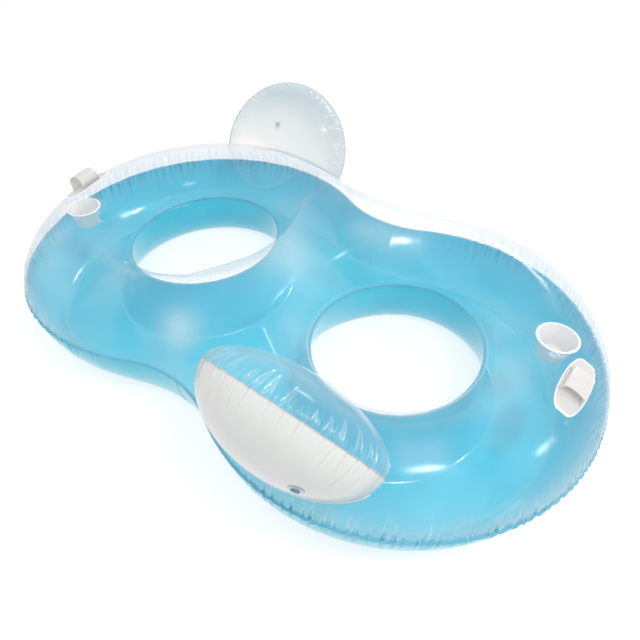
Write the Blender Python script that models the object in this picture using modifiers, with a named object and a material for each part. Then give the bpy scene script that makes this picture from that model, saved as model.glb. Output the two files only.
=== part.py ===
"""Double pool float: a ring with two seat holes, two pillows, two cup wells and two carry handles.

Two welded films make the ring, a clear one above and a blue one below. Each pillow is a clear front
film and a white back film, welded to each other along an arch and to the ring along their bases.
Origin at the bottom centre, +X along the float, +Z up. Lengths are in metres.
"""
import bpy
import bmesh
import numpy as np
from math import acos, atan2, copysign, cos, hypot, pi, radians, sin, sqrt
from mathutils import Matrix, Vector
from mathutils.geometry import delaunay_2d_cdt

MM = 0.001

# Plan of the ring: two round lobes joined by a waist
lobe_offset = 0.4951
end_radius = 0.7049
waist_draw = 0.1080
hole_half_length = 0.3040
hole_half_width = 0.3326
shear_share = 0.0200
lean_share = 0.0599
side_fullness_share = 0.0528
end_fullness_share = 0.0685

# Section of the ring, above and below its weld
seam_height = 0.2350
inner_seam_rise = 0.0190
top_rise_share = 0.864
underside_drop_share = 1.369

# Films and welds
film = 0.45 * MM
clearance = 0.3 * MM
weld_width = 8.0 * MM
pillow_weld_width = 6.0 * MM

# Pillows: the middle of the arched weld past the lobe's centre, in from the ring's side, over the ring's weld
pillow_radius = 0.3010
pillow_centres = {"a": (-0.0091, 0.1239, 0.2010), "b": (0.0099, 0.1569, 0.1950)}
pillow_turns = {"a": radians(-2.1), "b": radians(-12.9)}
pillow_tilt = radians(27.0)
pillow_front_depth = 0.1340
pillow_back_depth = 0.1880

# Cup wells
cup_rim_radius = 70.0 * MM
cup_mouth_radius = 62.0 * MM
cup_floor_radius = 44.0 * MM
cup_depth = 80.0 * MM
cup_wall = 1.6 * MM
cup_sink = 5.0 * MM
plate_sink = 3.0 * MM
seat_margin = 2.0 * MM
feature_room = 24.0 * MM
cup_edge = 0.5 * MM
cup_place_shares = {"a": (0.4629, radians(24.7)), "b": (0.4336, radians(40.1))}

# Carry handles
plate_half_length = 121.0 * MM
plate_half_width = 50.0 * MM
plate_thickness = 1.6 * MM
plate_turns = {"a": radians(-6.2), "b": radians(-5.5)}
plate_outline_shares = [(1.0, 0.0), (0.76, 0.80), (0.42, 0.96), (0.0, 1.0), (-0.42, 0.96), (-0.76, 0.80)]
grip_rises = {"a": 26.0 * MM, "b": 56.0 * MM}
grip_half_span = 36.0 * MM
grip_foot = 5.0 * MM
grip_width = 92.0 * MM
grip_foot_width = 104.0 * MM
grip_thickness = 3.0 * MM
grip_crown_share = 0.55
handle_place_shares = {"a": (0.6563, radians(6.7)), "b": (0.6531, radians(19.8))}

# Air valves, measured from the outer face of the film that carries them
valve_flange_radius = 22.0 * MM
valve_flange_thickness = 1.4 * MM
collar_bore = 7.3 * MM
collar_wall = 1.5 * MM
collar_depth = 10.0 * MM
stem_wall = 2.0 * MM
stem_travel = 12.0 * MM
stem_rim = 1.6 * MM
stem_lip = 1.6 * MM
stem_slack = 0.7 * MM
plug_cap_radius = 10.5 * MM
plug_cap_thickness = 2.3 * MM
plug_depth = 3.0 * MM
plug_top_radius = 4.6 * MM
plug_tip_radius = 4.2 * MM
tether_reach = 13.5 * MM
tether_width = 6.0 * MM
tether_thickness = 1.2 * MM
barrel_radius = 0.9 * MM
barrel_length = 6.0 * MM
flap_radius = 6.4 * MM
flap_thickness = 0.7 * MM
flap_hinge_reach = 7.6 * MM
pillow_valve_places = {"a": (0.155, 0.117), "b": (0.145, 0.103)}
ring_valve_angle = radians(51.0)
ring_valve_share = 0.95

# Fineness of the meshes
end_ray_count = 22
waist_ray_count = 8
grid_ring_count = 6
wall_step_count = 3
fine_end_ray_count = 52
fine_waist_ray_count = 20
fine_ring_count = 10
pillow_column_count = 24
pillow_ring_count = 6
pillow_base_count = 14
cup_side_count = 18
turned_side_count = 16
barrel_side_count = 10
grip_step_count = 14

# Sizes that follow
half_length = lobe_offset + end_radius
waist_half_width = end_radius - waist_draw
fillet_radius = ((lobe_offset ** 2 + waist_half_width ** 2 - end_radius ** 2)
                 / (2 * (end_radius - waist_half_width)))
fillet_centre = waist_half_width + fillet_radius
waist_side = copysign(1, fillet_radius)
tangent_angle = atan2(waist_side * fillet_centre, -waist_side * lobe_offset)
waist_angle = atan2(waist_half_width, -lobe_offset)


def outline_reach(angle):
    """Distance from a lobe's centre to the outer weld, or to the middle of the waist."""
    angle = abs((angle + pi) % (2 * pi) - pi)
    if angle <= tangent_angle:
        return end_radius
    if angle < waist_angle:
        half = lobe_offset * cos(angle) - fillet_centre * sin(angle)
        rest = lobe_offset ** 2 + fillet_centre ** 2 - fillet_radius ** 2
        return -half - waist_side * sqrt(half ** 2 - rest)
    return -lobe_offset / cos(angle)


def hole_reach(angle):
    """Distance from a lobe's centre to the weld of its seat hole."""
    return hole_half_length * hole_half_width / hypot(hole_half_width * cos(angle), hole_half_length * sin(angle))


def warp(x, y):
    """The plan as it was cut: fuller towards its ends and sides, and the same after half a turn."""
    fullness = (lean_share * (x / half_length) * (y / end_radius) + side_fullness_share * (y / end_radius) ** 2
                + end_fullness_share * (x / half_length) ** 2)
    return x + shear_share * y, y * (1 + fullness)


def unwarp(wx, wy):
    """The place in the regular plan of a point in the real one."""
    x, y = wx, wy
    for _ in range(40):
        ax, ay = warp(x, y)
        x, y = x + wx - ax, y + wy - ay
    return x, y


def ray_angles(end_count, waist_count):
    """Directions from a lobe's centre, round its end first and then across the waist."""
    end = np.linspace(-waist_angle, waist_angle, end_count + 1)
    waist = np.linspace(waist_angle, 2 * pi - waist_angle, waist_count + 1)[1:-1]
    return np.concatenate([end, waist])


def fine_ray_angles(end_count, waist_count):
    """Directions as above, closer together where the waist meets the outer weld."""
    end = np.linspace(-waist_angle, waist_angle, end_count + 1)
    across = waist_half_width * np.cos(np.linspace(0, pi, waist_count + 1)[1:-1])
    return np.concatenate([end, np.arctan2(across, -lobe_offset) % (2 * pi)])


def ring_grid(angles, end_count, ring_count):
    """Plan points of one lobe, a row for each ray from the hole's weld to the outer weld."""
    shares = (1 - np.cos(np.linspace(0, pi, ring_count + 1))) / 2
    grid = np.zeros((len(angles), ring_count + 1, 2))
    for i, angle in enumerate(angles):
        inner, outer = hole_reach(angle), outline_reach(angle)
        if i in (0, end_count):
            outer = hypot(lobe_offset, waist_half_width)
        for j, share in enumerate(shares):
            reach = inner + (outer - inner) * share
            x, y = lobe_offset + reach * cos(angle), reach * sin(angle)
            if j == ring_count and (i >= end_count or i == 0):
                x = 0.0
            grid[i, j] = warp(x, y)
    return grid


def inflate(grid, end_count):
    """Heights of a film under pressure: the square root of a stretched membrane's."""
    rays, columns = grid.shape[:2]
    index = np.arange(rays * columns).reshape(rays, columns)
    beside = np.roll(index, -1, axis=0)
    quads = np.stack([index[:, :-1], beside[:, :-1], beside[:, 1:], index[:, 1:]], -1).reshape(-1, 4)
    triangles = np.vstack([quads[:, [0, 1, 2]], quads[:, [0, 2, 3]], quads[:, [0, 1, 3]], quads[:, [1, 2, 3]]])
    owner = index.copy()
    waist = list(range(end_count + 1, rays))
    for first, last in zip(waist, reversed(waist)):
        if last > first:
            owner[last, -1] = owner[first, -1]
    fixed = np.zeros((rays, columns), bool)
    fixed[:, 0] = True
    fixed[:end_count + 1, -1] = True
    owner = owner.ravel()
    points = grid.reshape(-1, 2)
    corner = points[triangles]
    edges = np.stack([corner[:, 2] - corner[:, 1], corner[:, 0] - corner[:, 2], corner[:, 1] - corner[:, 0]], 1)
    area = np.abs(edges[:, 2, 0] * -edges[:, 1, 1] + edges[:, 2, 1] * edges[:, 1, 0]) / 2
    area = np.maximum(area, area.max() * 1e-9)
    stiffness = np.zeros((len(points), len(points)))
    load = np.zeros(len(points))
    rows = owner[triangles]
    for i in range(3):
        np.add.at(load, rows[:, i], area / 6)
        for j in range(3):
            value = (edges[:, i] * edges[:, j]).sum(1) / (8 * area)
            np.add.at(stiffness, (rows[:, i], rows[:, j]), value)
    free = np.array(sorted(set(owner) - set(owner[fixed.ravel()])))
    bulge = np.zeros(len(points))
    bulge[free] = np.linalg.solve(stiffness[np.ix_(free, free)], load[free])
    return np.sqrt(2 * np.maximum(bulge[owner], 0)).reshape(rays, columns)


fine_angles = fine_ray_angles(fine_end_ray_count, fine_waist_ray_count)
fine_heights = inflate(ring_grid(fine_angles, fine_end_ray_count, fine_ring_count), fine_end_ray_count)


def ring_place(wx, wy):
    """Angle round the nearer lobe and share of the way from the hole's weld to the outer one."""
    x, y = unwarp(wx, wy)
    if x < 0:
        x, y = -x, -y
    angle = atan2(y, x - lobe_offset)
    inner = hole_reach(angle)
    share = (hypot(x - lobe_offset, y) - inner) / (outline_reach(angle) - inner)
    return angle, min(max(share, 0.0), 1.0)


def place_at(angle, share, side="a"):
    """Plan place at a share of the way from a hole's weld to the outer one; side b is half a turn round."""
    reach = hole_reach(angle) + (outline_reach(angle) - hole_reach(angle)) * share
    x, y = warp(lobe_offset + reach * cos(angle), reach * sin(angle))
    return (x, y) if side == "a" else (-x, -y)


def bulge_at(angle, share):
    """Half height of the inflated ring at a place, before the films' own shares."""
    turn = (angle + waist_angle) % (2 * pi) - waist_angle
    row = int(np.searchsorted(fine_angles, turn, side="right")) - 1
    row = min(max(row, 0), len(fine_angles) - 1)
    after = (row + 1) % len(fine_angles)
    end = fine_angles[after] + (2 * pi if after == 0 else 0)
    along = (turn - fine_angles[row]) / (end - fine_angles[row])
    place = fine_ring_count * acos(1 - 2 * share) / pi
    column = min(int(place), fine_ring_count - 1)
    out = place - column
    near = fine_heights[row, column] * (1 - out) + fine_heights[row, column + 1] * out
    far = fine_heights[after, column] * (1 - out) + fine_heights[after, column + 1] * out
    return near * (1 - along) + far * along


def top_height(x, y):
    """Height of the upper film's outer face."""
    angle, share = ring_place(x, y)
    weld = seam_height + inner_seam_rise * (1 - share) ** 2
    return weld + clearance / 2 + film + top_rise_share * bulge_at(angle, share)


def free_under_height(angle, share):
    """Height of the lower film's outer face at a place of the ring, were there no ground."""
    weld = seam_height + inner_seam_rise * (1 - share) ** 2
    return weld - clearance / 2 - film - underside_drop_share * bulge_at(angle, share)


def under_height(x, y):
    """Height of the lower film's outer face, which lies flat where it meets the ground."""
    return max(free_under_height(*ring_place(x, y)), 0.0)


def surface_frame(x, y, height):
    """Point and outward normal of a film at a plan place; a lower film's normal points down."""
    step = film
    rise_x = (height(x + step, y) - height(x - step, y)) / (2 * step)
    rise_y = (height(x, y + step) - height(x, y - step)) / (2 * step)
    normal = Vector((-rise_x, -rise_y, 1)).normalized()
    if height is under_height:
        normal = -normal
    return Vector((x, y, height(x, y))), normal


def frame_at(point, normal, along):
    """Matrix with its Z on the normal and its X as near the given direction as it can be."""
    x = (along - along.dot(normal) * normal).normalized()
    y = normal.cross(x)
    matrix = Matrix((x, y, normal)).transposed().to_4x4()
    matrix.translation = point
    return matrix


# Collections and materials
def new_collection(name):
    collection = bpy.data.collections.new(name)
    bpy.context.scene.collection.children.link(collection)
    return collection


for old in list(bpy.data.objects):
    bpy.data.objects.remove(old, do_unlink=True)

parts = new_collection("double_pool_float")
cutters = new_collection("cutters")


def material(name, colour, roughness, alpha=1.0):
    """Principled material; colours are linear."""
    made = bpy.data.materials.new(name)
    made.use_nodes = True
    shader = made.node_tree.nodes["Principled BSDF"]
    shader.inputs["Base Color"].default_value = (*colour, 1)
    shader.inputs["Roughness"].default_value = roughness
    shader.inputs["Metallic"].default_value = 0.0
    shader.inputs["Alpha"].default_value = alpha
    made.diffuse_color = (*colour, 1)
    return made


clear = material("clear_film", (0.82, 0.84, 0.86), 0.08, 0.35)
blue = material("blue_film", (0.09, 0.56, 0.75), 0.10, 0.85)
white = material("white_film", (0.86, 0.88, 0.88), 0.25)
moulded = material("moulded_white", (0.70, 0.69, 0.66), 0.30)
cup_white = material("cup_white", (0.80, 0.84, 0.86), 0.18, 0.90)
valve_pale = material("valve_pale", (0.62, 0.76, 0.86), 0.25)
valve_blue = material("valve_blue", (0.03, 0.14, 0.42), 0.30)


def add_object(name, mesh, matrix=None, finish=None, into=None):
    obj = bpy.data.objects.new(name, mesh)
    (into or parts).objects.link(obj)
    if matrix is not None:
        obj.matrix_world = matrix
    if finish is not None:
        obj.data.materials.append(finish)
    if into is cutters:
        obj.hide_render = True
        obj.display_type = "WIRE"
    return obj


def inside(point, loop):
    """True where a plan point lies within a closed loop."""
    within = False
    for (ax, ay), (bx, by) in zip(loop, np.roll(loop, -1, axis=0)):
        if (ay > point[1]) != (by > point[1]):
            if point[0] < ax + (bx - ax) * (point[1] - ay) / (by - ay):
                within = not within
    return within


def distance_to_loop(point, loop):
    """Least plan distance from a point to a closed loop's sides."""
    start, end = loop, np.roll(loop, -1, axis=0)
    run = end - start
    along = ((point - start) * run).sum(1) / (run ** 2).sum(1)
    nearest = start + np.clip(along, 0, 1)[:, None] * run
    return np.sqrt(((point - nearest) ** 2).sum(1)).min()


def film_object(name, loops, holes, fill, outer, depth_at, matrix, outward, finish):
    """A film of even thickness over a plan.

    loops are closed lines that the film's triangles follow, with their heights; holes are the loops
    that bound openings; fill are more points; outer is the film's edge. outward is 1 where the
    thickness lies on the plan's positive side.
    """
    flat, heights, edges = [], [], []
    for loop in loops:
        first = len(flat)
        count = len(loop)
        for x, y, z in loop:
            flat.append(Vector((x, y)))
            heights.append(z)
        edges += [(first + i, first + (i + 1) % count) for i in range(count)]
    for x, y, z in fill:
        flat.append(Vector((x, y)))
        heights.append(z)
    out, _, faces, origin, _, _ = delaunay_2d_cdt(flat, edges, [], 0, clearance / 10)
    mesh = bmesh.new()
    rim = np.array([p[:2] for p in outer])
    gaps = [np.array([p[:2] for p in hole]) for hole in holes]
    points = []
    for place, sources in zip(out, origin):
        z = heights[sources[0]] if sources else depth_at(*place)
        points.append(mesh.verts.new((place.x, place.y, z)))
    for face in faces:
        middle = np.mean([out[i] for i in face], axis=0)
        if inside(middle, rim) and not any(inside(middle, gap) for gap in gaps):
            mesh.faces.new([points[i] for i in face])
    bmesh.ops.delete(mesh, geom=[v for v in mesh.verts if not v.link_faces], context="VERTS")
    bmesh.ops.recalc_face_normals(mesh, faces=mesh.faces)
    up = sum(face.normal.z * face.calc_area() for face in mesh.faces)
    if up * outward < 0:
        bmesh.ops.reverse_faces(mesh, faces=mesh.faces)
    data = bpy.data.meshes.new(name)
    mesh.to_mesh(data)
    mesh.free()
    obj = add_object(name, data, matrix, finish)
    shell = obj.modifiers.new("film", "SOLIDIFY")
    shell.thickness = film
    shell.use_even_offset = True
    return obj, shell


def plan_circle(matrix, radius, count):
    """Points of a circle in a frame's own plane, in the object's space."""
    turns = np.linspace(0, 2 * pi, count, endpoint=False)
    return [tuple(matrix @ Vector((radius * cos(t), radius * sin(t), 0))) for t in turns]


# The ring's welds and their lips
def outline_points(extra):
    """The outer weld, moved outwards by extra, all the way round."""
    half = []
    for angle in ray_angles(end_ray_count, waist_ray_count)[:end_ray_count + 1]:
        reach = outline_reach(angle)
        x, y = lobe_offset + reach * cos(angle), reach * sin(angle)
        if abs(angle) <= tangent_angle:
            nx, ny = cos(angle), sin(angle)
        else:
            side = 1 if y > 0 else -1
            nx, ny = waist_side * Vector((-x, side * fillet_centre - y)).normalized()
        half.append(warp(x + extra * nx, y + extra * ny))
    half = half[:-1]
    return half + [(-x, -y) for x, y in half]


def hole_points(side, extra):
    """The weld of a seat hole, moved towards its middle by extra."""
    sign = 1 if side == "a" else -1
    loop = []
    for angle in ray_angles(end_ray_count, waist_ray_count):
        reach = hole_reach(angle) - extra
        x, y = warp(lobe_offset + reach * cos(angle), reach * sin(angle))
        loop.append((sign * x, sign * y))
    return loop


def at_height(loop, height):
    return [(x, y, height) for x, y in loop]


def ring_loops(offset):
    """The outer lip, the outer weld and each hole's weld and lip, at one side of the weld plane."""
    low = seam_height + offset
    high = low + inner_seam_rise
    loops = [at_height(outline_points(weld_width), low), at_height(outline_points(0), low)]
    lips = [at_height(hole_points(side, weld_width), high) for side in "ab"]
    welds = [at_height(hole_points(side, 0), high) for side in "ab"]
    return loops + welds + lips, loops[0], lips


def ring_fill(places, height, keep_clear, room):
    """Places given a height, without those close to a feature."""
    fill = []
    for x, y in places:
        point = np.array((x, y))
        if all(not inside(point, loop) and distance_to_loop(point, loop) > room for loop in keep_clear):
            fill.append((x, y, height(x, y)))
    return fill


def top_places():
    """Points of the ring grid between the welds."""
    grid = ring_grid(ray_angles(end_ray_count, waist_ray_count), end_ray_count, grid_ring_count)
    places = [tuple(p) for p in grid[:, 1:-1].reshape(-1, 2)]
    return places + [(-x, -y) for x, y in places] + [tuple(p) for p in grid[end_ray_count + 1:, -1]]


def falls(point_at, low, high):
    """The value between low and high at which a height stops being positive."""
    for _ in range(50):
        middle = (low + high) / 2
        if point_at(middle) > 0:
            low = middle
        else:
            high = middle
    return (low + high) / 2


def under_lines():
    """Where the lower film meets the ground, as closed lines, and points on its walls."""
    inner, outer, walls = [], [], []
    for index, angle in enumerate(ray_angles(end_ray_count, waist_ray_count)):
        sides = [(inner, lambda share: share)]
        if index <= end_ray_count:
            sides.append((outer, lambda share: 1 - share))
        for line, mirrored in sides:
            touch = falls(lambda share: free_under_height(angle, mirrored(share)), 0, 0.5)
            line.append(place_at(angle, mirrored(touch)))
            turn = acos(1 - 2 * touch)
            for step in range(1, wall_step_count):
                share = (1 - cos(turn * step / wall_step_count)) / 2
                walls.append(place_at(angle, mirrored(share)))
    opposite = [[(-x, -y) for x, y in line] for line in (inner, outer, walls)]
    loops = [inner, opposite[0], outer + opposite[1]]
    return [at_height(loop, 0.0) for loop in loops], walls + opposite[2]


# Pillows
def pillow_frame(side):
    """Frame of the arched weld: X to its left as the sitter sees it from the front, Y up, Z forward."""
    turn = pillow_turns[side]
    past, inward, lift = pillow_centres[side]
    centre = Vector((lobe_offset + past, inward - end_radius, seam_height + lift))
    forward = Vector((sin(turn) * cos(pillow_tilt), cos(turn) * cos(pillow_tilt), sin(pillow_tilt)))
    frame = frame_at(centre, forward, Vector((-1, 0, 0)))
    return frame if side == "a" else Matrix.Rotation(pi, 4, "Z") @ frame


def pillow_bulge(depth, x, y):
    """Height of a pillow film's inner face over the plane of its weld."""
    share = min(hypot(x, y) / pillow_radius, 1.0)
    return clearance / 2 + depth * sqrt(1 - share ** 2)


def over_ring(frame, x, y, z):
    """How far a place in a pillow's frame is above the ring's upper film."""
    point = frame @ Vector((x, y, z))
    return point.z - top_height(point.x, point.y)


def arch_ends(frame, radius):
    """Angles at which a circle of the weld plane meets the ring, on the left and on the right."""
    def above(angle):
        return over_ring(frame, radius * cos(angle), radius * sin(angle), 0)
    return falls(lambda turn: above(pi / 2 - turn), 0, pi), falls(lambda turn: above(pi / 2 + turn), 0, pi)


def base_line(frame, face, depth):
    """Where a pillow film meets the ring, from the X side round below to the other, in the frame."""
    right, left = arch_ends(frame, pillow_radius)
    start, end = pi / 2 - right, pi / 2 + left - 2 * pi
    line = []
    for share in (1 - np.cos(np.linspace(0, pi, pillow_base_count))) / 2:
        angle = start + (end - start) * share

        def above(reach):
            x, y = reach * cos(angle), reach * sin(angle)
            return over_ring(frame, x, y, face * pillow_bulge(depth, x, y))
        reach = pillow_radius if share in (0, 1) else falls(above, 0, pillow_radius)
        x, y = reach * cos(angle), reach * sin(angle)
        line.append(Vector((x, y, face * pillow_bulge(depth, x, y))))
    return line


def seated(frame, place):
    """A place on the ring, in a pillow's frame, lifted off the ring's film by the clearance."""
    point = frame @ place
    on_ring, normal = surface_frame(point.x, point.y, top_height)
    return frame.inverted() @ (on_ring + clearance * normal)


def pillow_film(side, name, face, depth, finish, valve=None):
    frame = pillow_frame(side)
    line = [seated(frame, place) for place in base_line(frame, face, depth)]
    line = [tuple(place) for place in line]
    right, left = arch_ends(frame, pillow_radius)
    turns = np.linspace(pi / 2 + left, pi / 2 - right, pillow_column_count + 1)[1:-1]
    weld = face * clearance / 2
    arch = [(pillow_radius * cos(t), pillow_radius * sin(t), weld) for t in turns]
    lip_radius = pillow_radius + pillow_weld_width
    lip_right, lip_left = arch_ends(frame, lip_radius)
    ends = [seated(frame, Vector((lip_radius * cos(t), lip_radius * sin(t), weld)))
            for t in (pi / 2 + lip_left, pi / 2 - lip_right)]
    lip = [tuple(ends[0])] + [(lip_radius * cos(t), lip_radius * sin(t), weld) for t in turns] + [tuple(ends[1])]
    rim = line + lip
    loops, holes = [rim, line + arch], []
    keep_clear = [np.array([p[:2] for p in line + arch])]
    if valve is not None:
        under = valve @ Matrix.Translation((0, 0, -film))
        seat = plan_circle(under, valve_flange_radius + seat_margin, turned_side_count)
        hole = plan_circle(under, valve_hole_radius, turned_side_count)
        loops += [seat, hole]
        holes = [hole]
        keep_clear.append(np.array([p[:2] for p in seat]))
    body = keep_clear[0]
    foot = np.array([p[:2] for p in line])
    room = pillow_radius / (2 * pillow_ring_count)
    fill = []
    for ring in range(1, pillow_ring_count):
        reach = pillow_radius * sin(ring * pi / (2 * pillow_ring_count))
        skip = 1 if ring > pillow_ring_count / 2 else 2
        step = (turns[1] - turns[0]) * skip
        for index in range(round(2 * pi / abs(step))):
            turn = turns[0] + step * index
            x, y = reach * cos(turn), reach * sin(turn)
            point = np.array((x, y))
            if not inside(point, body) or distance_to_loop(point, foot) < room:
                continue
            if any(inside(point, loop) or distance_to_loop(point, loop) < room / 2 for loop in keep_clear[1:]):
                continue
            fill.append((x, y, face * pillow_bulge(depth, x, y)))

    def depth_at(x, y):
        return face * pillow_bulge(depth, x, y)
    obj, shell = film_object(name, loops, holes, fill, rim, depth_at, frame, face, finish)
    shell.offset = 1.0
    return obj


# Air valves
valve_top = clearance + valve_flange_thickness
collar_radius = collar_bore + collar_wall
valve_hole_radius = collar_radius + clearance
stem_radius = collar_bore - clearance
stem_bore = stem_radius - stem_wall
stem_top = valve_top + clearance + stem_rim
stem_lip_top = -(collar_depth + stem_travel + stem_slack)
stem_bottom = stem_lip_top - stem_lip
stem_lip_radius = collar_bore + stem_lip
plug_bottom = stem_top + clearance
edge = valve_flange_thickness / 3
neck_skin = flap_thickness / 10


def turned(name, profile, sides, matrix, finish, closed=False, into=None):
    """A profile of radius and height turned about the frame's Z, down its outer side."""
    mesh = bpy.data.meshes.new(name)
    lines = [(i, i + 1) for i in range(len(profile) - 1)]
    if closed:
        lines.append((len(profile) - 1, 0))
    mesh.from_pydata([(radius, 0, height) for radius, height in profile], lines, [])
    obj = add_object(name, mesh, matrix, finish, into)
    screw = obj.modifiers.new("turn", "SCREW")
    screw.angle = 2 * pi
    screw.steps = sides
    screw.render_steps = sides
    screw.use_merge_vertices = True
    screw.merge_threshold = clearance / 30
    screw.use_smooth_shade = False
    return obj


def box_tool(name, low, high, matrix):
    """A hidden box between two corners in a frame."""
    mesh = bpy.data.meshes.new(name)
    shape = bmesh.new()
    size = [h - l for l, h in zip(low, high)]
    middle = [(h + l) / 2 for l, h in zip(low, high)]
    bmesh.ops.create_cube(shape, size=1.0, matrix=Matrix.Translation(middle) @ Matrix.Diagonal((*size, 1)))
    shape.to_mesh(mesh)
    shape.free()
    return add_object(name, mesh, matrix, None, cutters)


def barrel_tool(name, place, matrix):
    """A hidden round bar along the frame's Y."""
    mesh = bpy.data.meshes.new(name)
    shape = bmesh.new()
    bmesh.ops.create_cone(shape, cap_ends=True, segments=barrel_side_count, radius1=barrel_radius, radius2=barrel_radius,
                          depth=barrel_length, matrix=Matrix.Translation(place) @ Matrix.Rotation(pi / 2, 4, "X"))
    shape.to_mesh(mesh)
    shape.free()
    return add_object(name, mesh, matrix, None, cutters)


def join(obj, tool):
    union = obj.modifiers.new(tool.name, "BOOLEAN")
    union.operation = "UNION"
    union.solver = "EXACT"
    union.object = tool


def air_valve(prefix, matrix):
    """Flange with its collar, sliding stem, tethered plug and check flap."""
    turned(prefix + "_flange", [
        (collar_bore, valve_top), (valve_flange_radius - edge, valve_top),
        (valve_flange_radius, valve_top - edge), (valve_flange_radius, clearance), (collar_radius, clearance),
        (collar_radius, -collar_depth), (collar_bore, -collar_depth)], turned_side_count, matrix, valve_pale, True)
    stem = turned(prefix + "_stem", [
        (stem_bore, stem_top), (collar_radius, stem_top), (collar_radius, valve_top + clearance),
        (stem_radius, valve_top + clearance), (stem_radius, stem_lip_top), (stem_lip_radius, stem_lip_top),
        (stem_lip_radius, stem_bottom), (stem_bore, stem_bottom)], turned_side_count, matrix, valve_pale, True)
    join(stem, box_tool(prefix + "_ear", (stem_radius, -tether_width / 2, valve_top + clearance + edge / 2),
                        (tether_reach + barrel_radius, tether_width / 2, stem_top - edge / 4), matrix))
    plug = turned(prefix + "_plug", [
        (0, plug_bottom + plug_cap_thickness), (plug_cap_radius - edge, plug_bottom + plug_cap_thickness),
        (plug_cap_radius, plug_bottom + plug_cap_thickness - edge), (plug_cap_radius, plug_bottom),
        (plug_top_radius, plug_bottom), (plug_tip_radius, stem_top - plug_depth), (0, stem_top - plug_depth)],
        turned_side_count, matrix, valve_blue)
    join(plug, box_tool(prefix + "_tether", (plug_cap_radius - edge * 2, -tether_width / 3, plug_bottom + edge / 2),
                        (tether_reach, tether_width / 3, plug_bottom + tether_thickness), matrix))
    join(plug, barrel_tool(prefix + "_tether_end", (tether_reach, 0, plug_bottom + barrel_radius), matrix))
    flap_top = stem_bottom - clearance
    flap = turned(prefix + "_flap", [
        (0, flap_top), (flap_radius, flap_top), (flap_radius, flap_top - flap_thickness),
        (0, flap_top - flap_thickness)], turned_side_count, matrix, valve_pale)
    neck_low = (flap_radius - edge * 3, -tether_width / 3, flap_top - flap_thickness + neck_skin)
    neck_high = (flap_hinge_reach, tether_width / 3, flap_top - neck_skin)
    join(flap, box_tool(prefix + "_flap_neck", neck_low, neck_high, matrix))
    join(flap, barrel_tool(prefix + "_flap_end", (flap_hinge_reach, 0, flap_top - barrel_radius), matrix))


def pillow_valve_frame(side):
    """Frame of a pillow's valve in the pillow's own frame, its Z out of the back."""
    across, up = pillow_valve_places[side]
    depth = pillow_bulge(pillow_back_depth, across, up)
    place = Vector((-across, up, -depth))
    normal = Vector((place.x / pillow_radius ** 2, place.y / pillow_radius ** 2, place.z / pillow_back_depth ** 2))
    normal.normalize()
    return frame_at(place + film * normal, normal, Vector((1, 0, 0)))


def ring_valve_frame():
    x, y = place_at(ring_valve_angle, ring_valve_share)
    point, normal = surface_frame(x, y, under_height)
    return frame_at(point, normal, Vector((-y, x, 0)))


for side in "ab":
    prefix = "pillow_" + side
    valve = pillow_valve_frame(side)
    pillow_film(side, prefix + "_front", 1, pillow_front_depth, clear)
    pillow_film(side, prefix + "_back", -1, pillow_back_depth, white, valve)
    air_valve(prefix + "_valve", pillow_frame(side) @ valve)


# Cup wells
def cup_frame(side):
    share, angle = cup_place_shares[side]
    x, y = place_at(angle, share, side)
    return Matrix.Translation((x, y, top_height(x, y) - cup_sink))


cup_top = clearance + cup_wall
cup_hole_radius = cup_mouth_radius + cup_wall + clearance
for side in "ab":
    turned("cup_holder_" + side, [
        (0, cup_top + cup_wall - cup_depth), (cup_floor_radius, cup_top + cup_wall - cup_depth),
        (cup_mouth_radius, cup_top), (cup_rim_radius - cup_edge, cup_top), (cup_rim_radius, cup_top - cup_edge),
        (cup_rim_radius, clearance), (cup_mouth_radius + cup_wall, clearance),
        (cup_floor_radius + cup_wall, cup_top - cup_depth), (0, cup_top - cup_depth)],
        cup_side_count, cup_frame(side), cup_white)


# Carry handles
def handle_frame(side):
    """Frame of a handle's patch: X along the ring, Y towards its middle, Z out of the film."""
    share, angle = handle_place_shares[side]
    x, y = place_at(angle, share, side)
    point, normal = surface_frame(x, y, top_height)
    sign = 1 if side == "a" else -1
    heading = angle + plate_turns[side]
    along = Vector((-sin(heading) * sign, cos(heading) * sign, 0))
    return frame_at(point - plate_sink * normal, normal, along)


def plate_outline(margin):
    half = [(a * (plate_half_length + margin), b * (plate_half_width + margin)) for a, b in plate_outline_shares]
    return half + [(-x, -y) for x, y in half]


def flat_plate(name, outline, thickness, matrix, finish):
    curve = bpy.data.curves.new(name, "CURVE")
    curve.dimensions = "2D"
    curve.fill_mode = "BOTH"
    curve.extrude = thickness / 2
    spline = curve.splines.new("POLY")
    spline.points.add(len(outline) - 1)
    for point, (x, y) in zip(spline.points, outline):
        point.co = (x, y, 0, 1)
    spline.use_cyclic_u = True
    return add_object(name, curve, matrix, finish)


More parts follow.
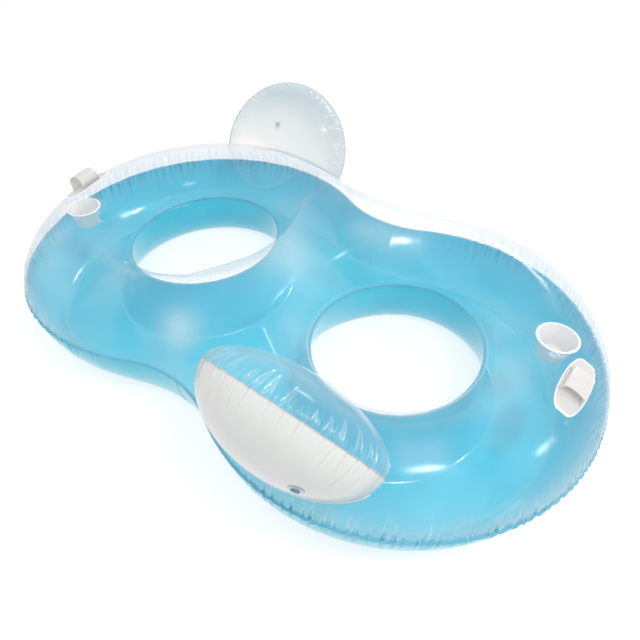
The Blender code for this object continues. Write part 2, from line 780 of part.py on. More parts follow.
for side in "ab":
    seat = handle_frame(side)
    flat_plate("handle_plate_" + side, plate_outline(0), plate_thickness,
               seat @ Matrix.Translation((0, 0, clearance + plate_thickness / 2)), moulded)
    path = [(-grip_half_span - grip_foot, 0, grip_foot_width)]
    for step in range(grip_step_count + 1):
        turn = pi * step / grip_step_count
        lift = sin(turn) if 0 < step < grip_step_count else 0.0
        width = grip_foot_width + (grip_width - grip_foot_width) * sqrt(lift)
        path.append((-grip_half_span * cos(turn), grip_rises[side] * lift ** grip_crown_share, width))
    path.append((grip_half_span + grip_foot, 0, grip_foot_width))
    strap = bmesh.new()
    bmesh.ops.create_grid(strap, x_segments=1, y_segments=len(path) - 1, size=1.0)
    columns = sorted(strap.verts, key=lambda v: (round(v.co.y * len(path)), v.co.x))
    for index, vertex in enumerate(columns):
        across, lift, width = path[index // 2]
        vertex.co = ((-0.5 if index % 2 == 0 else 0.5) * width, across, lift)
    data = bpy.data.meshes.new("handle_grip_" + side)
    strap.to_mesh(data)
    strap.free()
    lifted = clearance * 2 + plate_thickness + grip_thickness / 2
    grip = add_object("handle_grip_" + side, data, seat @ Matrix.Translation((0, 0, lifted)), moulded)
    shell = grip.modifiers.new("strap", "SOLIDIFY")
    shell.thickness = grip_thickness
    shell.offset = 0.0
    shell.use_even_offset = True


# The ring's films
def ring_film(name, height, offset, places, lines, features, holes, outward, finish):
    loops, rim, lips = ring_loops(offset)
    keep_clear = [np.array([p[:2] for p in loop]) for loop in features]
    fill = ring_fill(places, height, keep_clear, feature_room)
    loops += lines + features + holes
    obj, shell = film_object(name, loops, lips + holes, fill, rim, height, None, outward, finish)
    shell.offset = -1.0
    return obj


top_features, top_holes = [], []
for side in "ab":
    top_features.append(plan_circle(cup_frame(side), cup_rim_radius + seat_margin, cup_side_count))
    top_holes.append(plan_circle(cup_frame(side), cup_hole_radius, cup_side_count))
    seat = handle_frame(side)
    top_features.append([tuple(seat @ Vector((x, y, 0))) for x, y in plate_outline(seat_margin)])
    frame = pillow_frame(side)
    front = base_line(frame, 1, pillow_front_depth)
    back = base_line(frame, -1, pillow_back_depth)
    around = [frame @ place for place in front + back[-2:0:-1]]
    top_features.append([(p.x, p.y, top_height(p.x, p.y)) for p in around])
ring_film("top_sheet", top_height, clearance / 2 + film, top_places(), [], top_features, top_holes, 1, clear)

ring_valve = ring_valve_frame()
seat = plan_circle(ring_valve, valve_flange_radius + seat_margin, turned_side_count)
hole = plan_circle(ring_valve, valve_hole_radius, turned_side_count)
ground_lines, wall_places = under_lines()
ring_film("bottom_sheet", under_height, -(clearance / 2 + film), wall_places, ground_lines, [seat], [hole], -1, blue)
air_valve("ring_valve", ring_valve)
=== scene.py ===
"""Double pool float: how it looks, over its solids.

A clear upper film and a blue lower film are blown up between an outer weld and two inner ones. Two
pillows of clear and white film, two cup wells and two carry handles are welded on top.
"""
from math import atan2, cos, hypot, pi, radians, sin, sqrt

import bmesh
import bpy
import numpy as np
from mathutils import Matrix, Vector


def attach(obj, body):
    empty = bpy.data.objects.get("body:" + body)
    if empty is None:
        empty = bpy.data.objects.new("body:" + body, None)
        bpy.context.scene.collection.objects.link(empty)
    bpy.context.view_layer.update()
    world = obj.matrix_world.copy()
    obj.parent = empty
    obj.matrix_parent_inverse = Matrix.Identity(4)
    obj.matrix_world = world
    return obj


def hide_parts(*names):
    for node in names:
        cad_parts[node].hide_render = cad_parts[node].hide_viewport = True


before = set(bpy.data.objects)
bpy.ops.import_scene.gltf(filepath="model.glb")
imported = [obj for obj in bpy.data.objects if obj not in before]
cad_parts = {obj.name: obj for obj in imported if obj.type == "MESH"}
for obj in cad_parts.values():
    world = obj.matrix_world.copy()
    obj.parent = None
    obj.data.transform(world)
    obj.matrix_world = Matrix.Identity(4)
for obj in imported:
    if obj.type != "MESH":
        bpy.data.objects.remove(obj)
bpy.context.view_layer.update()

MM = 0.001

# Plan and section of the ring, the same as its solids'
lobe_offset = 0.4951
end_radius = 0.7049
waist_half_width = 0.5969
hole_half_length = 0.3040
hole_half_width = 0.3326
shear_share = 0.0200
lean_share = 0.0599
side_fullness_share = 0.0528
end_fullness_share = 0.0685
seam_height = 0.2350
inner_seam_rise = 0.0190
top_rise_share = 0.864
underside_drop_share = 1.369
shoulder_drop_share = 0.30
shoulder_reach_share = 0.45
film = 0.45 * MM
weld_width = 8.0 * MM

# Pillows
pillow_radius = 0.3010
pillow_centres = {"a": (0.4860, 0.5810, 0.2010), "b": (0.5050, 0.5480, 0.1950)}
pillow_turns = {"a": radians(-2.1), "b": radians(-12.9)}
pillow_tilt = radians(27.0)
pillow_front_depth = 0.1340
pillow_back_depth = 0.1880
pillow_weld_width = 6.0 * MM
base_weld_width = 4.0 * MM

# Cup wells and handles
cup_rim_radius = 70.0 * MM
cup_mouth_radius = 62.0 * MM
cup_floor_radius = 44.0 * MM
cup_depth = 80.0 * MM
cup_wall = 1.6 * MM
cup_sink = 5.0 * MM
cup_place_shares = {"a": (0.4629, radians(24.7)), "b": (0.4336, radians(40.1))}
plate_half_length = 121.0 * MM
plate_half_width = 50.0 * MM
plate_thickness = 1.6 * MM
plate_turns = {"a": radians(-6.2), "b": radians(-5.5)}
plate_sink = 3.0 * MM
grip_rises = {"a": 26.0 * MM, "b": 56.0 * MM}
grip_half_span = 36.0 * MM
grip_foot = 5.0 * MM
grip_width = 92.0 * MM
grip_foot_width = 104.0 * MM
grip_thickness = 3.0 * MM
grip_flatness = 0.28
grip_bead_share = 0.35
bead_highlight_share = 0.94
handle_place_shares = {"a": (0.6563, radians(6.7)), "b": (0.6531, radians(19.8))}
clearance = 0.3 * MM
seat_blend = 26.0 * MM

# Fineness of the meshes
end_ray_count = 1000
waist_ray_count = 72
ring_count = 46
coarse_end_ray_count = 80
coarse_waist_ray_count = 28
coarse_ring_count = 16
pillow_turn_count = 840
pillow_ring_count = 40
arch_step_count = 48
foot_step_count = 3
weld_steps = np.linspace(0, 1, 4)

# Pleats along the welds: spacing, greatest length and half width at the weld, and how deep each kind is
ring_long_pleats, ring_long_depth = (0.052, 0.13, 9 * MM), 6.5 * MM
ring_short_pleats, ring_short_depth = (0.033, 0.085, 6 * MM), 6 * MM
hole_pleats, hole_depth = (0.026, 0.06, 5 * MM), 1.4 * MM
pillow_long_pleats = {1: (0.046, 0.10, 9 * MM), -1: (0.046, 0.12, 5 * MM)}
pillow_short_pleats, pillow_base_pleats = (0.018, 0.05, 4 * MM), (0.026, 0.05, 5 * MM)
pillow_long_depth, pillow_short_depth, pillow_base_depth = 7 * MM, 2.6 * MM, 1.6 * MM
greatest_lean = 0.10
weld_draw_share = 0.75
weld_lift_share = 0.55

half_length = lobe_offset + end_radius
fillet_radius = ((lobe_offset ** 2 + waist_half_width ** 2 - end_radius ** 2)
                 / (2 * (end_radius - waist_half_width)))
fillet_centre = waist_half_width + fillet_radius
tangent_angle = atan2(fillet_centre, -lobe_offset)
waist_angle = atan2(waist_half_width, -lobe_offset)


# Plan of the ring
def outline_reach(angle):
    """Distance from a lobe's centre to the outer weld, or to the middle of the waist."""
    angle = abs((angle + pi) % (2 * pi) - pi)
    if angle <= tangent_angle:
        return end_radius
    if angle < waist_angle:
        half = lobe_offset * cos(angle) - fillet_centre * sin(angle)
        rest = lobe_offset ** 2 + fillet_centre ** 2 - fillet_radius ** 2
        return -half - sqrt(half ** 2 - rest)
    return -lobe_offset / cos(angle)


def hole_reach(angle):
    """Distance from a lobe's centre to the weld of its seat hole."""
    return (hole_half_length * hole_half_width
            / hypot(hole_half_width * cos(angle), hole_half_length * sin(angle)))


def warp(x, y):
    """The plan as it was cut: fuller towards its ends and sides."""
    along, across = x / half_length, y / end_radius
    lean = lean_share * along * across
    fullness = lean + side_fullness_share * across ** 2 + end_fullness_share * along ** 2
    return x + shear_share * y, y * (1 + fullness)


def unwarp(wx, wy):
    """The place in the regular plan of points in the real one."""
    x, y = wx, wy
    for _ in range(40):
        ax, ay = warp(x, y)
        x, y = x + wx - ax, y + wy - ay
    return x, y


def ray_angles(end_count, waist_count):
    """Directions from a lobe's centre, round its end first and then across the waist."""
    end = np.linspace(-waist_angle, waist_angle, end_count + 1)
    across = waist_half_width * np.cos(np.linspace(0, pi, waist_count + 1)[1:-1])
    return np.concatenate([end, np.arctan2(across, -lobe_offset) % (2 * pi)])


def ring_grid(angles, end_count, shares):
    """Plan points of one lobe, a row for each ray from the hole's weld to the outer weld."""
    inner = np.array([hole_reach(angle) for angle in angles])
    outer = np.array([outline_reach(angle) for angle in angles])
    outer[[0, end_count]] = hypot(lobe_offset, waist_half_width)
    reach = inner[:, None] + (outer - inner)[:, None] * shares[None, :]
    x = lobe_offset + reach * np.cos(angles)[:, None]
    y = reach * np.sin(angles)[:, None]
    x[end_count:, -1] = 0.0
    x[0, -1] = 0.0
    return np.stack(warp(x, y), -1)


def inflate(grid, end_count):
    """Heights of a film under pressure: the square root of a stretched membrane's."""
    rays, columns = grid.shape[:2]
    index = np.arange(rays * columns).reshape(rays, columns)
    beside = np.roll(index, -1, axis=0)
    quads = np.stack([index[:, :-1], beside[:, :-1], beside[:, 1:], index[:, 1:]], -1).reshape(-1, 4)
    triangles = np.vstack([quads[:, corners] for corners in ([0, 1, 2], [0, 2, 3], [0, 1, 3], [1, 2, 3])])
    owner = index.copy()
    waist = list(range(end_count + 1, rays))
    for first, last in zip(waist, reversed(waist)):
        if last > first:
            owner[last, -1] = owner[first, -1]
    fixed = np.zeros((rays, columns), bool)
    fixed[:, 0] = True
    fixed[:end_count + 1, -1] = True
    owner = owner.ravel()
    points = grid.reshape(-1, 2)
    corner = points[triangles]
    edges = np.roll(corner, 1, axis=1) - np.roll(corner, -1, axis=1)
    area = np.abs(edges[:, 2, 0] * -edges[:, 1, 1] + edges[:, 2, 1] * edges[:, 1, 0]) / 2
    area = np.maximum(area, area.max() * 1e-9)
    stiffness = np.zeros((len(points), len(points)))
    load = np.zeros(len(points))
    rows = owner[triangles]
    for i in range(3):
        np.add.at(load, rows[:, i], area / 6)
        for j in range(3):
            value = (edges[:, i] * edges[:, j]).sum(1) / (8 * area)
            np.add.at(stiffness, (rows[:, i], rows[:, j]), value)
    free = np.array(sorted(set(owner) - set(owner[fixed.ravel()])))
    bulge = np.zeros(len(points))
    bulge[free] = np.linalg.solve(stiffness[np.ix_(free, free)], load[free])
    return np.sqrt(2 * np.maximum(bulge[owner], 0)).reshape(rays, columns)


coarse_angles = ray_angles(coarse_end_ray_count, coarse_waist_ray_count)
coarse_shares = (1 - np.cos(np.linspace(0, pi, coarse_ring_count + 1))) / 2
coarse_heights = inflate(ring_grid(coarse_angles, coarse_end_ray_count, coarse_shares), coarse_end_ray_count)


def smooth_step(value):
    """Nought below nought, one above one, and a smooth rise between them."""
    value = np.clip(value, 0.0, 1.0)
    return value * value * (3 - 2 * value)


def four_point(before, first, second, after, along):
    """A smooth curve through four even points, between the middle two."""
    return first + along * (second - before + along * (2 * before - 5 * first + 4 * second - after
                            + along * (3 * (first - second) + after - before))) / 2


def extended_heights():
    """The coarse heights with a column more on each side, odd past a weld and even past the waist."""
    low = -coarse_heights[:, 1:2]
    high = coarse_heights[:, -2:-1].copy()
    high[:coarse_end_ray_count + 1] *= -1
    return np.hstack([low, coarse_heights, high])


coarse_padded = extended_heights()


def bulge_at(angle, share):
    """Half height of the inflated ring at places given by angle and share of the way across."""
    turn = (angle + waist_angle) % (2 * pi) - waist_angle
    count = len(coarse_angles)
    knots = np.concatenate([coarse_angles, [coarse_angles[0] + 2 * pi]])
    row = np.clip(np.searchsorted(knots, turn, side="right") - 1, 0, count - 1)
    along = (turn - knots[row]) / (knots[row + 1] - knots[row])
    place = coarse_ring_count * np.arccos(np.clip(1 - 2 * share, -1, 1)) / pi
    column = np.clip(place.astype(int), 0, coarse_ring_count - 1)
    out = place - column
    sides = []
    for step in (-1, 0, 1, 2):
        line = (row + step) % count
        sides.append(four_point(*[coarse_padded[line, column + k] for k in range(4)], out))
    return np.maximum(four_point(*sides, along), 0.0)


def ring_place(wx, wy):
    """Angle round the nearer lobe and share of the way from the hole's weld to the outer one."""
    x, y = unwarp(wx, wy)
    far = np.where(x < 0, -1.0, 1.0)
    x, y = x * far, y * far
    angle = np.arctan2(y, x - lobe_offset)
    inner = np.vectorize(hole_reach)(angle)
    outer = np.vectorize(outline_reach)(angle)
    return angle, np.clip((np.hypot(x - lobe_offset, y) - inner) / (outer - inner), 0.0, 1.0)


def shoulder(share):
    """The upper film is held lower beside the holes, where its weld is drawn tight."""
    return top_rise_share * (1 - shoulder_drop_share * (1 - smooth_step(share / shoulder_reach_share)))


def weld_height(share):
    """Height of the two films' meeting, which rises a little towards the holes."""
    return seam_height + inner_seam_rise * (1 - share) ** 2


def top_height(wx, wy):
    """Height of the upper film's outer face."""
    angle, share = ring_place(np.asarray(wx, float), np.asarray(wy, float))
    return weld_height(share) + clearance / 2 + film + shoulder(share) * bulge_at(angle, share)


def place_at(angle, share, side="a"):
    """Plan place at a share of the way from a hole's weld to the outer one; side b is half a turn round."""
    reach = hole_reach(angle) + (outline_reach(angle) - hole_reach(angle)) * share
    x, y = warp(lobe_offset + reach * cos(angle), reach * sin(angle))
    return (x, y) if side == "a" else (-x, -y)


def frame_at(point, normal, along):
    """Matrix with its Z on the normal and its X as near the given direction as it can be."""
    x = (along - along.dot(normal) * normal).normalized()
    y = normal.cross(x)
    matrix = Matrix((x, y, normal)).transposed().to_4x4()
    matrix.translation = point
    return matrix


def top_frame(x, y):
    """Point and normal of the upper film."""
    step = 2 * MM
    xs = np.array([x, x + step, x - step, x, x])
    ys = np.array([y, y, y, y + step, y - step])
    z = top_height(xs, ys)
    normal = Vector((-(z[1] - z[2]) / (2 * step), -(z[3] - z[4]) / (2 * step), 1)).normalized()
    return Vector((x, y, z[0])), normal


def pillow_frame(side):
    """Frame of the arched weld: X to its left as the sitter sees it from the front, Y up, Z forward."""
    turn = pillow_turns[side]
    along, out, lift = pillow_centres[side]
    forward = Vector((sin(turn) * cos(pillow_tilt), cos(turn) * cos(pillow_tilt), sin(pillow_tilt)))
    made = frame_at(Vector((along, -out, seam_height + lift)), forward, Vector((-1, 0, 0)))
    return made if side == "a" else Matrix.Rotation(pi, 4, "Z") @ made


def cup_frame(side):
    """Frame of a cup well: level, at the middle of its rim."""
    share, angle = cup_place_shares[side]
    x, y = place_at(angle, share, side)
    return Matrix.Translation((x, y, float(top_height(x, y)) - cup_sink))


def handle_frame(side):
    """Frame of a handle's patch: X along the ring, Y towards its middle, Z out of the film."""
    share, angle = handle_place_shares[side]
    x, y = place_at(angle, share, side)
    point, normal = top_frame(x, y)
    sign = 1 if side == "a" else -1
    heading = angle + plate_turns[side]
    along = Vector((-sin(heading) * sign, cos(heading) * sign, 0))
    return frame_at(point - plate_sink * normal, normal, along)


# Materials
def colour(red, green, blue):
    """Linear colour from the 0 to 255 values that a screen shows."""
    shown = (red / 255, green / 255, blue / 255)
    return tuple(v / 12.92 if v <= 0.04045 else ((v + 0.055) / 1.055) ** 2.4 for v in shown)


def node(tree, kind, **values):
    """A new shader node with the given inputs or settings."""
    made = tree.nodes.new(kind)
    for key, value in values.items():
        if key in made.inputs:
            made.inputs[key].default_value = value
        else:
            setattr(made, key, value)
    return made


def material(name, **values):
    """A new material, its tree and its shader, with the shader's values by the names of its sockets."""
    made = bpy.data.materials.new(name)
    made.use_nodes = True
    shader = made.node_tree.nodes["Principled BSDF"]
    for key, value in values.items():
        shader.inputs[key].default_value = value
    return made, made.node_tree, shader


def pattern(tree, kind, place, **values):
    """A texture in an object's own space."""
    made = node(tree, kind, **values)
    tree.links.new(place.outputs["Object"], made.inputs["Vector"])
    return made


def mixed(tree, kind, share, first, second):
    """Output of a node that goes from the first value or socket to the second."""
    made = node(tree, "ShaderNodeMix", data_type=kind)
    held = [socket for socket in made.inputs if socket.enabled]
    tree.links.new(share, held[0])
    for socket, value in zip(held[1:], (first, second)):
        if isinstance(value, bpy.types.NodeSocket):
            tree.links.new(value, socket)
        else:
            socket.default_value = value
    return next(socket for socket in made.outputs if socket.enabled)


def vinyl(name, tint, deep, roughness, alpha, mottle=6.0, bump=0.10, bump_scale=9.0, grain=0.02,
          coat=0.5, gloss=1.5, edge_alpha=None, tone_and_painted_light=None, tone_and_painted_light_alpha=None, painted_sheen=None, inside=None):
    """Glossy film: a tint that drifts towards a deeper one, soft ripples and a very fine grain.

    A film seen edge on is denser. Along one mask it takes another colour and density: painted glints,
    painted shade, painted rim highlights, and the deeper tone of bunched film and thick rims. A clear one
    can have pale patches of painted sheen, standing in for soft lights reflected in it, and the back face of
    a white one is painted paler and glows faintly, standing in for light let through it.
    """
    made, tree, shader = material(name, **{
        "Alpha": alpha, "IOR": gloss, "Coat Weight": coat, "Coat IOR": gloss, "Coat Roughness": 0.13})
    place = node(tree, "ShaderNodeTexCoord")
    drift = pattern(tree, "ShaderNodeTexNoise", place, Scale=mottle, Detail=3.0, Roughness=0.5)
    ramp = node(tree, "ShaderNodeValToRGB")
    ramp.color_ramp.elements[0].position = 0.35
    ramp.color_ramp.elements[0].color = (*tint, 1)
    ramp.color_ramp.elements[1].position = 0.75
    ramp.color_ramp.elements[1].color = (*deep, 1)
    tree.links.new(drift.outputs["Fac"], ramp.inputs["Fac"])
    shade, cover = ramp.outputs["Color"], alpha
    if edge_alpha is not None:
        facing = node(tree, "ShaderNodeLayerWeight", Blend=0.5)
        steep = node(tree, "ShaderNodeMath", operation="POWER")
        steep.inputs[1].default_value = 3.0
        tree.links.new(facing.outputs["Facing"], steep.inputs[0])
        cover = mixed(tree, "FLOAT", steep.outputs["Value"], cover, edge_alpha)
    # Painted sheen: pale patches, standing in for soft lights reflected in the clear film
    if painted_sheen is not None:
        painted_sheen_mask = node(tree, "ShaderNodeAttribute", attribute_name="painted_sheen_mask")
        shade = mixed(tree, "RGBA", painted_sheen_mask.outputs["Fac"], shade, (0.97, 0.99, 1, 1))
        cover = mixed(tree, "FLOAT", painted_sheen_mask.outputs["Fac"], cover, painted_sheen)
    # Painted light: the film's back face is painted paler and glows faintly, standing in for light let
    # through it
    if inside is not None:
        side = node(tree, "ShaderNodeNewGeometry")
        shade = mixed(tree, "RGBA", side.outputs["Backfacing"], shade, (*inside, 1))
        glow = node(tree, "ShaderNodeMapRange", **{"To Max": 0.17})
        tree.links.new(side.outputs["Backfacing"], glow.inputs["Value"])
        shader.inputs["Emission Color"].default_value = (1, 0.96, 0.93, 1)
        tree.links.new(glow.outputs["Result"], shader.inputs["Emission Strength"])
    # Tone and painted light along a mask: painted glints, painted shade and painted rim highlights, with the
    # deeper tone of bunched film and thick rims
    if tone_and_painted_light is not None:
        tone_and_light_mask = node(tree, "ShaderNodeAttribute", attribute_name="tone_and_painted_light")
        shade = mixed(tree, "RGBA", tone_and_light_mask.outputs["Fac"], shade, (*tone_and_painted_light, 1))
        cover = mixed(tree, "FLOAT", tone_and_light_mask.outputs["Fac"], cover, tone_and_painted_light_alpha)
    tree.links.new(shade, shader.inputs["Base Color"])
    if cover is not alpha:
        tree.links.new(cover, shader.inputs["Alpha"])
    wear = node(tree, "ShaderNodeMapRange", **{"To Min": roughness * 0.8, "To Max": roughness * 1.3})
    tree.links.new(drift.outputs["Fac"], wear.inputs["Value"])
    tree.links.new(wear.outputs["Result"], shader.inputs["Roughness"])
    swell = pattern(tree, "ShaderNodeTexNoise", place, Scale=bump_scale, Detail=2.0, Roughness=0.4)
    speck = pattern(tree, "ShaderNodeTexNoise", place, Scale=900.0, Detail=2.0)
    soft = node(tree, "ShaderNodeBump", Strength=bump, Distance=0.02)
    tree.links.new(swell.outputs["Fac"], soft.inputs["Height"])
    fine = node(tree, "ShaderNodeBump", Strength=grain, Distance=0.0003)
    tree.links.new(speck.outputs["Fac"], fine.inputs["Height"])
    tree.links.new(soft.outputs["Normal"], fine.inputs["Normal"])
    tree.links.new(fine.outputs["Normal"], shader.inputs["Normal"])
    tree.links.new(soft.outputs["Normal"], shader.inputs["Coat Normal"])
    return made


def weld(name, tint, alpha):
    """A heat-sealed strip: two films pressed together under a fine square pattern."""
    made, tree, shader = material(name, **{"Alpha": alpha, "IOR": 1.5, "Coat Weight": 0.3})
    place = node(tree, "ShaderNodeTexCoord")
    both = node(tree, "ShaderNodeMath", operation="MULTIPLY")
    for axis, socket in zip("XY", both.inputs):
        lines = pattern(tree, "ShaderNodeTexWave", place, bands_direction=axis, Scale=140.0, Distortion=0.4)
        tree.links.new(lines.outputs["Fac"], socket)
    ramp = node(tree, "ShaderNodeValToRGB")
    ramp.color_ramp.elements[0].color = (*[v * 0.85 for v in tint], 1)
    ramp.color_ramp.elements[1].color = (*tint, 1)
    tree.links.new(both.outputs["Value"], ramp.inputs["Fac"])
    tree.links.new(ramp.outputs["Color"], shader.inputs["Base Color"])
    rough = node(tree, "ShaderNodeMapRange", **{"To Min": 0.18, "To Max": 0.32})
    tree.links.new(both.outputs["Value"], rough.inputs["Value"])
    tree.links.new(rough.outputs["Result"], shader.inputs["Roughness"])
    bump = node(tree, "ShaderNodeBump", Strength=0.5, Distance=0.0004)
    tree.links.new(both.outputs["Value"], bump.inputs["Height"])
    tree.links.new(bump.outputs["Normal"], shader.inputs["Normal"])
    return made


# The clear film's paler colour along its mask is painted glints, and a painted reflection near the welds
clear_film = vinyl("clear_film", colour(208, 212, 222), colour(200, 206, 218), 0.17, 0.06, coat=0.7,
                   gloss=1.95, edge_alpha=0.62, tone_and_painted_light=colour(222, 246, 255), tone_and_painted_light_alpha=0.6, painted_sheen=0.44)
# Its deeper blue along its mask: partly bunched film at the pleats' mouths, partly painted shade
blue_film = vinyl("blue_film", colour(62, 212, 236), colour(28, 200, 228), 0.14, 0.93, mottle=3.5, coat=0.5,
                  tone_and_painted_light=colour(8, 150, 194), tone_and_painted_light_alpha=0.98)
# The white film's back face is painted paler and glows, standing in for light let through it
white_film = vinyl("white_film", colour(232, 233, 231), colour(224, 226, 224), 0.22, 0.97, coat=0.25,
                   inside=colour(246, 240, 236))
# Its paler colour along its mask is a painted rim highlight on the patches' beads
moulded_white = vinyl("moulded_white", colour(210, 205, 203), colour(202, 197, 195), 0.34, 0.92, mottle=14.0,
                      bump=0.05, bump_scale=30.0, grain=0.06, coat=0.2,
                      tone_and_painted_light=colour(253, 253, 252), tone_and_painted_light_alpha=0.98)
# Its denser, bluish white along its mask goes on the cups' rims: partly thicker moulding, partly a painted
# rim highlight
cup_white = vinyl("cup_white", colour(248, 244, 243), colour(241, 237, 236), 0.28, 0.74, mottle=12.0,
                  bump=0.05, bump_scale=24.0, grain=0.04, coat=0.3,
                  tone_and_painted_light=colour(246, 251, 253), tone_and_painted_light_alpha=0.92)
# The handles' thick vinyl scatters the light inside it, and a faint emission paints a glow on it, standing
# in for light let through
moulded_shader = moulded_white.node_tree.nodes["Principled BSDF"]
for key, value in {"Subsurface Weight": 0.6, "Subsurface Radius": (1.0, 1.0, 1.0), "Subsurface Scale": 0.02,
                   "Emission Color": (1, 0.98, 0.97, 1), "Emission Strength": 0.13}.items():
    moulded_shader.inputs[key].default_value = value
valve_finish = {"mottle": 60.0, "bump": 0.05, "bump_scale": 80.0, "grain": 0.05, "coat": 0.4}
valve_pale = vinyl("valve_pale", colour(205, 224, 238), colour(184, 208, 228), 0.22, 0.96, **valve_finish)
valve_blue = vinyl("valve_blue", colour(30, 92, 150), colour(20, 70, 128), 0.28, 1.0, **valve_finish)
clear_weld = weld("clear_weld", colour(225, 236, 242), 0.14)
blue_weld = weld("blue_weld", colour(48, 184, 218), 0.88)
white_weld = weld("white_weld", colour(248, 248, 247), 0.98)


# Meshes
def placed(name, data):
    """A new object of the scene."""
    obj = bpy.data.objects.new(name, data)
    bpy.context.scene.collection.objects.link(obj)
    return obj


def mesh_object(name, points, faces, slots, materials):
    """One smooth object; slots gives each face its material."""
    data = bpy.data.meshes.new(name)
    data.from_pydata([tuple(p) for p in points], [], [tuple(f) for f in faces])
    for made in materials:
        data.materials.append(made)
    data.polygons.foreach_set("material_index", np.asarray(slots, np.int32))
    data.polygons.foreach_set("use_smooth", np.ones(len(data.polygons), bool))
    data.update()
    return placed(name, data)


def merged(obj, reach=0.05 * MM):
    """Joins points that lie on each other, and keeps the edge between two materials sharp."""
    shape = bmesh.new()
    shape.from_mesh(obj.data)
    bmesh.ops.remove_doubles(shape, verts=shape.verts, dist=reach)
    for edge in shape.edges:
        if len({face.material_index for face in edge.link_faces}) > 1:
            edge.smooth = False
    shape.to_mesh(obj.data)
    shape.free()
    return obj


def finish_piece(obj, body, nodes):
    """Says which body a piece rides on, and hides the solids it stands for."""
    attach(obj, body)
    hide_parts(*nodes)
    return obj


class Sheet:
    """Collects grids of points with a material slot for each, and makes one object of them.

    Each point also holds two masks for its material: one for tone and painted light, such as glints, painted
    shade and rim highlights, and one for painted sheen.
    """

    def __init__(self):
        self.points, self.faces, self.slots, self.count = [], [], [], 0
        self.held = {"tone_and_painted_light": [], "painted_sheen_mask": []}

    def grid(self, rows, slot, closed=False, keep=None, flip=False, tone_and_painted_light=None, painted_sheen_mask=None):
        lines, columns = rows.shape[:2]
        index = self.count + np.arange(lines * columns).reshape(lines, columns)
        after = np.roll(index, -1, axis=0) if closed else index[1:]
        first = index if closed else index[:-1]
        quads = np.stack([first[:, :-1], after[:, :-1], after[:, 1:], first[:, 1:]], -1)
        quads = quads[:, :, ::-1] if flip else quads
        quads = quads.reshape(-1, 4)
        if keep is not None:
            quads = quads[keep(rows.reshape(-1, 3)[quads - self.count].mean(1))]
        self.points.append(rows.reshape(-1, 3))
        self.faces.append(quads)
        self.slots.append(np.full(len(quads), slot))
        for values, given in zip(self.held.values(), (tone_and_painted_light, painted_sheen_mask)):
            values.append(np.zeros(lines * columns) if given is None else given.ravel())
        self.count += lines * columns

    def make(self, name, materials):
        points, faces = np.vstack(self.points), np.vstack(self.faces)
        obj = mesh_object(name, points, faces, np.concatenate(self.slots), materials)
        for key, values in self.held.items():
            values = np.clip(np.concatenate(values), 0, 1).astype(np.float32)
            if values.any():
                obj.data.attributes.new(key, "FLOAT", "POINT").data.foreach_set("value", values)
        return merged(obj)


# Folds that gather a film where it meets a weld
def round_trip(along, total):
    """The shorter way round a closed line, with its sign."""
    return (along + total / 2) % total - total / 2


def gathers(seed, arc, total, depth, spacing, reach, width, thin=1.8 * MM, stray=0.38, least=0.5):
    """Pleats that start at a weld and close over the film: how deep each place is, and how near a crease.

    A pleat is a long triangle with its base on the weld and a low ridge on each side. arc runs along the
    weld and depth away from it, both in metres; thin is the half width of a pleat's edge line.
    """
    chance = np.random.default_rng(seed)
    deep = np.zeros(np.broadcast(arc, depth).shape)
    sharp = np.zeros(deep.shape)
    count = int(total / spacing)
    for place in (np.arange(count) + chance.uniform(-stray, stray, count)) * spacing:
        size = chance.uniform(least, 1.0)
        run = reach * chance.uniform(0.45, 1.0)
        half = width * chance.uniform(0.7, 1.3)
        lean = chance.uniform(-greatest_lean, greatest_lean)
        near = np.abs(round_trip(arc[:, 0] - place, total)) < 3 * half + greatest_lean * reach
        away = np.clip(depth[near] / run, 0, 1)
        across = np.abs(round_trip(arc[near] - place - lean * depth[near], total))
        open_half = half * (1 - away) + 0.15 * half
        valley = smooth_step(1 - across / open_half)
        ridge = np.exp(-((across - 1.25 * open_half) / (0.6 * open_half)) ** 2)
        deep[near] += size * (valley - 0.22 * ridge) * (1 - away) ** 0.8
        line = np.exp(-((across - open_half) / thin) ** 2) + 0.5 * np.exp(-(across / thin) ** 2)
        sharp[near] += size * line * (1 - away) ** 0.5 * (away < 1)
    return deep, sharp


def ripple(seed, arc, total, height):
    """Small waves of a weld along its length, the same after the whole way round."""
    chance = np.random.default_rng(seed)
    wave = np.zeros_like(arc)
    for turns in (23, 37, 58, 83):
        wave += np.sin(2 * pi * turns * arc / total + chance.uniform(0, 2 * pi)) * chance.uniform(0.5, 1.0)
    return wave * height / 3


def normals(rows):
    """Normals of a grid whose last row meets its first, from the differences between neighbours."""
    along = np.roll(rows, -1, axis=0) - np.roll(rows, 1, axis=0)
    across = np.gradient(rows, axis=1)
    out = np.cross(across, along)
    length = np.linalg.norm(out, axis=-1, keepdims=True)
    return out / np.maximum(length, 1e-12)


# The ring's films, one lobe at a time; the rays of lobe_end reach the outer weld, the others the waist
angles = ray_angles(end_ray_count, waist_ray_count)
lobe_end = slice(0, end_ray_count + 1)
shares = (1 - np.cos(np.linspace(0, pi, ring_count + 1))) / 2
plan = ring_grid(angles, end_ray_count, shares)
bulge = bulge_at(*np.meshgrid(angles, shares, indexing="ij"))
bulge[:, 0] = 0.0
bulge[lobe_end, -1] = 0.0
weld_line = np.repeat(weld_height(shares)[None, :], len(angles), axis=0)


def lengths_along(line):
    """Distance of each point of an open line from its first."""
    steps = np.linalg.norm(np.diff(line, axis=0), axis=1)
    return np.concatenate([[0.0], np.cumsum(steps)])


def depths(rows):
    """How far each point is from the first and from the last of its row, along the film."""
    steps = np.linalg.norm(np.diff(rows, axis=1), axis=-1)
    first = np.concatenate([np.zeros((len(rows), 1)), np.cumsum(steps, axis=1)], axis=1)
    return first, first[:, -1:] - first


